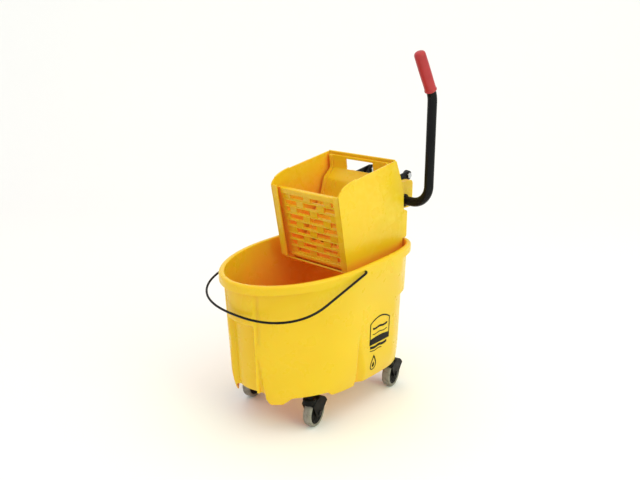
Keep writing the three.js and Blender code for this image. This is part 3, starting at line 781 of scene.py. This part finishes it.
def cheek_outline():
    """One cheek from the side, with its front upper corner cut back in a curve."""
    curve = []
    for k in range(17):
        t = k / 16
        y = (1 - t) ** 2 * -1 + 2 * (1 - t) * t * -58 + t ** 2 * -66
        z = (1 - t) ** 2 * 620 + 2 * (1 - t) * t * 609 + t ** 2 * 585
        curve.append((y, z))
    corners = [(8, 360), (92, 360), (197, 405), (197, 430.6), (214, 430.6), (214, 504), (198, 511),
               (196, 553), (187, 585), (160, 648)]
    radii = [10, 12, 6, 2, 6, 5, 4, 40, 40, 5]
    outline = rounded(corners + [(-1, 620), (-66, 585), (-29, 385)], radii + [0, 0, 10])
    cut_at = next(i for i, (y, z) in enumerate(outline) if abs(y + 1) < 1e-3 and abs(z - 620) < 1e-3)
    return outline[:cut_at] + curve + outline[cut_at + 2:]


def add_wringer():
    half, wall, hook = WRINGER["half"], WRINGER["wall"], WRINGER["hook"]
    inner = half - wall
    outline = cheek_outline()
    shaft = circle(HANDLE["y"], HANDLE["z"], HANDLE["tube"] + BUSH + GAP)
    pivot = circle(PRESS["y"], PRESS["z"], PRESS["pin"] + GAP, 24)
    lug = rounded([(188, 508), (246, 508), (254, 518), (254, 574), (248, 582), (204, 582), (186, 560)],
                  [3, 6, 5, 5, 5, 10, 4])
    flange = [(-66, 585), (-29, 385), (-25, 384), (-62, 586)]
    for side, word in ((-1, "left"), (1, "right")):
        def span(a, b):
            return (a, b) if side > 0 else (-b, -a)
        replaced = ["wringer_body"] if side > 0 else ()
        cheek = plate(outline, *span(inner, half), [pivot])
        piece(f"wringer_cheek_{word}", cheek, YELLOW, "wringer", 1.1, 3, replaced)
        piece(f"wringer_bearing_{word}", plate(lug, *span(*BEARING), [shaft]), YELLOW, "wringer", 2.0, 3)
        piece(f"wringer_flange_{word}", plate(flange, *span(100, half - 1)), YELLOW, "wringer", 1.0, 2)
        bead = [(side * (half - 2), y, z) for y, z in outline if z > 600 and y < 150]
        bead.sort(key=lambda point: -point[1])
        piece(f"wringer_bead_{word}", lofted(rings_along(bead, 2.6, 12)), YELLOW, "wringer")

    edge = inner + 1                  # sheets run 1 mm into the cheeks
    lines = list(BACK_WALL.lengths)
    high = BACK_WALL.at_height
    openings = [(-62, 62, high(634), high(597))]
    openings += [(s * 68 - 13, s * 68 + 13, high(626), high(543)) for s in (-1, 1)]
    wall_sheet = perforated([-edge, -90, 0, 90, edge], lines, openings, BACK_WALL.place, 0, wall)
    piece("wringer_back", wall_sheet, YELLOW, "wringer", 1.2, 3)
    crest = [BACK_WALL.place(x, 0.6, wall / 2) for x in np.linspace(-inner, inner, 30)]
    piece("wringer_crest", lofted(rings_along(crest, 2.6, 12)), YELLOW, "wringer")

    tray = Profile([(-14, 375), (-6, 369.7), (2, 364.5), (9, 360), (30, 360), (60, 360), (93, 360)])
    drains = [(x - 12, x + 12, tray.lengths[-1] - 49, tray.lengths[-1] - 19) for x in (-80, -40, 0, 40, 80)]
    ramp = Profile([(90, 360.5), (120, 373.3), (160, 390.4), (188, 402.3), (192, 408), (193, 416),
                    (193, 436)])
    for name, line, holes in (("wringer_tray", tray, drains), ("wringer_ramp", ramp, [])):
        sheet = perforated([-edge, edge], list(line.lengths), holes, line.place, 0, wall)
        piece(name, sheet, YELLOW, "wringer", 0.8, 2)
    hook_outline = rounded([(192, hook), (225, hook), (225, 392), (229, 392), (229, hook + 5),
                            (192, hook + 5)], [0, 2, 1, 1, 4, 0])
    piece("wringer_hook", plate(hook_outline, -100, 100), YELLOW, "wringer", 1.0, 2)
    gusset = [(196, hook + 4), (224, hook + 4), (197, hook + 44), (196, hook + 44)]
    gussets = [plate(gusset, x - 1.8, x + 1.8) for x in (-86, -30, 30, 86)]
    piece("wringer_gussets", together(gussets), YELLOW, "wringer", 0.7, 2)


def add_grille():
    (top_y, top_z), (foot_y, foot_z) = GRILLE["top"], GRILLE["foot"]
    height = math.hypot(foot_y - top_y, top_z - foot_z)
    lean = math.atan2(foot_y - top_y, top_z - foot_z)
    pitch = (height - 18) / GRILLE["rows"]
    wide, high, every, shift = 48, 14.5, 73, 28
    half, thick = GRILLE["half"], GRILLE["thick"]

    def place(x, up, depth):
        return (x, foot_y + depth * math.cos(lean) - up * math.sin(lean),
                foot_z + depth * math.sin(lean) + up * math.cos(lean))

    openings, ribs = [], []
    for row in range(GRILLE["rows"]):
        low = 7 + pitch * (row + 0.1)
        x = -150 + (row * shift) % every
        while x < 100:
            left, right = max(x, -93), min(x + wide, 93)
            if right - left > 9:
                openings.append((left, right, low, low + high))
            x += every
        ribs.append(low - (pitch - high) / 2)
    sheet = perforated([-half, half], [-2, height], openings, place, 0, thick)
    piece("grille_sheet", sheet, YELLOW, "wringer", 0.9, 2, ["front_grille"])

    def rail(low, up, out, back, reach, radius):
        corners = rounded([(out, low), (back, low), (back, up), (out, up)], radius, 5)
        solid = plate(corners, -reach, reach)
        return moved(solid, lambda x, depth, rise: place(x, rise, depth))

    bars = [rail(z - 1.6, z + 1.6, -2.6, 2, 97, 1.5) for z in ribs[1:]]
    bars.append(rail(height - 15, height + 0.8, -5, thick + 0.8, 98, 2.4))
    bars.append(rail(-3.5, 6.0, -4.2, thick, 98, 2.0))
    piece("grille_bars", together(bars), YELLOW, "wringer", 0.4, 2)


def add_press():
    half, thick = PRESS["half"], PRESS["thick"]
    high = PRESS_FACE.at_height
    pitch = 32                        # between rows of drain slots
    openings = [(-48, 48, high(605), high(634))]
    for row in range(4):
        for x in (-78, -39, 0, 39, 78):
            openings.append((x - 11, x + 11, high(418 + row * pitch), high(426 + row * pitch)))
    lines = list(PRESS_FACE.lengths)

    def place(x, s, depth):
        return PRESS_FACE.place(x, s, -depth)

    sheet = perforated([-half, half], lines, openings, place, 0, thick)
    piece("press_sheet", sheet, YELLOW, "press", 0.9, 2, ["press_plate"])
    side = [(34, 392), (112, 530), (126, 578), (148, 597), (153, 607), (148, 641), (154, 641), (159.5, 606),
            (155, 591), (134, 574), (124, 528), (48, 392)]
    ribs = [plate(side, x, x + 3) for x in (-half, half - 3)]
    ribs.append(plate([(34, 392), (112, 530), (126, 578), (134, 574), (124, 528), (48, 392)], -1.5, 1.5))
    piece("press_ribs", together(ribs), YELLOW, "press", 0.7, 2)
    last = PRESS_FACE.lengths[-1]
    beads = []
    for s in (-1, 1):
        x0, x1 = sorted((s * 95.5, s * 106.5))
        cuts = [line for line in lines if 20 < line < last] + [last - 1.5]
        beads.append(perforated([x0, x1], cuts, [], place, -3.0, 1))
    for row in range(5):
        z = 404 + row * pitch
        beads.append(perforated([-92, 92], [high(z) - 1.6, high(z) + 1.6], [], place, -2.4, 1))
    piece("press_beads", together(beads), YELLOW, "press", 0.9, 2)
    ear = rounded([(116, 536), (126, 536), (150, 551), (152, 566), (144, 571), (126, 578), (122, 570)],
                  [1, 3, 5, 5, 5, 4, 1], 5)
    hole = circle(LINK["y"], LINK["z"], LINK["pin"] + GAP, 28)
    ears = [plate(ear, x, x + 4.5, [hole]) for x in (-79, -64.2, 59.7, 74.5)]
    piece("press_ears", together(ears), YELLOW, "press", 0.7, 2)
    bore = PRESS["pin"] + 0.4
    barrel = [(bore, -half), (8.2, -half), (9, -half + 0.8), (9, half - 0.8), (8.2, half), (bore, half)]
    barrel = turned(barrel, (0, PRESS["y"], PRESS["z"]), (1, 0, 0), 40, True)
    piece("press_barrel", barrel, YELLOW, "press")
    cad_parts["press_hinge_pin"].data.materials[0] = ZINC
    shank = LINK["pin"]
    profile = [(0.4, 56.6), (5.4, 56.6), (6.4, 57.4), (6.4, 59.3), (shank, 59.4), (shank, 79.3),
               (6.4, 79.4), (6.4, 81.2), (5.4, 82), (0.4, 82)]
    for word, s in (("left", -1), ("right", 1)):
        pin = turned(profile, (0, LINK["y"], LINK["z"]), (s, 0, 0), 32)
        piece(f"press_pin_{word}", pin, ZINC, "press", 0.2, 2, [f"plate_pin_{word}"])


# ---- Handle and linkage ------------------------------------------------------------------------

def handle_corners():
    y, z, side = HANDLE["y"], HANDLE["z"], HANDLE["side"]
    return [Vector((-BEARING[1] - 4, y, z)), Vector((side, y, z)), Vector((side, y, HANDLE["grip_low"] - 20)),
            Vector((side, y - 62, HANDLE["top"] - 7))]


def add_handle():
    corners = handle_corners()
    line = rounded(corners, [0, HANDLE["bend"], 55, 0], 24)
    outer = rings_along(line, HANDLE["tube"], 40)
    bore = rings_along(line, HANDLE["bore"], 40)
    piece("handle_pipe", lofted(outer + bore[::-1], True), COAT, "handle", 0.5, 2, ["handle_tube"], 50)
    along = (corners[3] - corners[2]).normalized()
    hollow = HANDLE["tube"] + GAP
    length, radius, steps = 104, 14.8, 14
    profile = [(hollow, 0), (15.2, 0), (16.0, 0.8), (16.3, 2.4), (16.0, 4.2), (15.2, 5.4), (14.9, 7),
               (radius, 12)]
    profile += [(radius + 0.35 * math.sin(k * math.pi / steps) ** 2, 12 + k * (length - 16) / steps)
                for k in range(1, steps)]
    profile += [(radius, length - 4), (14.6, length), (13.8, length + 3), (12.2, length + 5.4),
                (9.6, length + 7), (6, length + 7.8), (0.3, length + 8), (0.3, length + 2.4),
                (hollow, length + 2)]
    foot = corners[3] - along * (length + 1.5)
    piece("handle_sleeve", turned(profile, foot, along, 56, True), RED, "handle", 0, 2, ["handle_grip"], 50)
    for word, side in (("left", -1), ("right", 1)):
        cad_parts[f"shaft_bush_{word}"].data.materials[0] = MOULDING
        add_linkage(word, side)


def arm_outline(first, first_radius, last, last_radius):
    """The outline of an arm around its two round ends."""
    tilt = math.atan2(last[1] - first[1], last[0] - first[0])
    outline = []
    ends = ((first, first_radius, tilt + math.pi / 2), (last, last_radius, tilt - math.pi / 2))
    for (y, z), radius, start in ends:
        for k in range(25):
            t = start + math.pi * k / 24
            outline.append((y + radius * math.cos(t), z + radius * math.sin(t)))
    return outline


def add_linkage(word, side):
    def span(start, thick):
        return (start, start + thick) if side > 0 else (-start - thick, -start)

    shaft, bolt, pin = (HANDLE["y"], HANDLE["z"]), (CRANK["y"], CRANK["z"]), (LINK["y"], LINK["z"])
    bolt_hole = circle(*bolt, CRANK["bolt"] + GAP, 28)
    crank_line = arm_outline(shaft, CRANK["hub"], bolt, CRANK["tip"])
    crank_holes = [circle(*shaft, HANDLE["tube"] + GAP), bolt_hole]
    crank = plate(crank_line, *span(CRANK["x"], CRANK["thick"]), crank_holes)
    piece(f"crank_{word}", crank, COAT, "handle", 0.9, 3, [f"crank_arm_{word}"])
    link_line = arm_outline(bolt, LINK["end"], pin, LINK["eye"])
    link_holes = [bolt_hole, circle(*pin, LINK["pin"] + LINK["slack"])]
    link = plate(link_line, *span(LINK["x"], LINK["thick"]), link_holes)
    piece(f"link_{word}", link, COAT, f"push_link_{word}", 0.9, 3, [f"push_link_{word}"])
    screw = [(0.4, 54.5), (7.4, 54.5), (8.5, 55.3), (8.5, 59.6), (5, 59.7), (5, 71.9), (8.5, 72.0),
             (8.5, 76.0), (7.4, 76.8), (0.4, 76.8)]
    screw = turned(screw, (0, *bolt), (side, 0, 0), 6)
    piece(f"crank_screw_{word}", screw, ZINC, "handle", 0.4, 2, [f"crank_bolt_{word}"], 30)


# ---- Stage and light ---------------------------------------------------------------------------

def add_stage():
    n = Nodes("studio_floor")
    n.join(n.mix(n.noise(0.6, 2), (0.93, 0.93, 0.93), (0.96, 0.96, 0.96)), n.shader.inputs["Base Color"])
    n.set(Roughness=0.85)
    bend = [(2.2 + 1.6 * math.sin(t), 1.6 - 1.6 * math.cos(t)) for t in np.linspace(0, 1.5, 14)]
    rows = [(-3.0, 0.0), *bend, (3.85, 5.0)]
    away = Vector((-math.sin(AZIMUTH), math.cos(AZIMUTH), 0))
    across = Vector((math.cos(AZIMUTH), math.sin(AZIMUTH), 0))
    points, faces = [], []
    for i, (d, z) in enumerate(rows):
        for side in (-6, 6):
            points.append(away * d + across * side + Vector((0, 0, z)))
        if i:
            faces.append((2 * i - 2, 2 * i - 1, 2 * i + 1, 2 * i))
    mesh = bpy.data.meshes.new("studio_floor")
    mesh.from_pydata(points, [], faces)
    mesh.shade_smooth()
    mesh.materials.append(n.material)
    floor = bpy.data.objects.new("studio_floor", mesh)
    bpy.context.scene.collection.objects.link(floor)


def add_light(name, place, target, size, power, tint=(1, 1, 1)):
    data = bpy.data.lights.new(name, "AREA")
    data.shape = "RECTANGLE"
    data.size, data.size_y = size
    data.energy = power
    data.color = tint
    light = bpy.data.objects.new(name, data)
    light.location = place
    light.rotation_euler = (Vector(place) - Vector(target)).to_track_quat("Z", "Y").to_euler()
    bpy.context.scene.collection.objects.link(light)


def add_lights():
    bpy.context.scene.view_settings.view_transform = "Standard"
    world = bpy.data.worlds.new("studio")
    world.use_nodes = True
    world.node_tree.nodes["Background"].inputs["Color"].default_value = (1, 1, 1, 1)
    world.node_tree.nodes["Background"].inputs["Strength"].default_value = 0.97
    bpy.context.scene.world = world
    middle = (0, 0, 0.4)
    add_light("key", (2.8, -0.1, 1.5), middle, (1.6, 1.6), 28, (0.62, 1.0, 0.5))
    add_light("top", (0.5, 0.1, 2.8), middle, (2.4, 2.4), 24, (1.0, 0.68, 0.42))


add_camera()
add_bucket()
add_label()
add_bail()
add_casters()
add_wringer()
add_grille()
add_press()
add_handle()
add_stage()
add_lights()
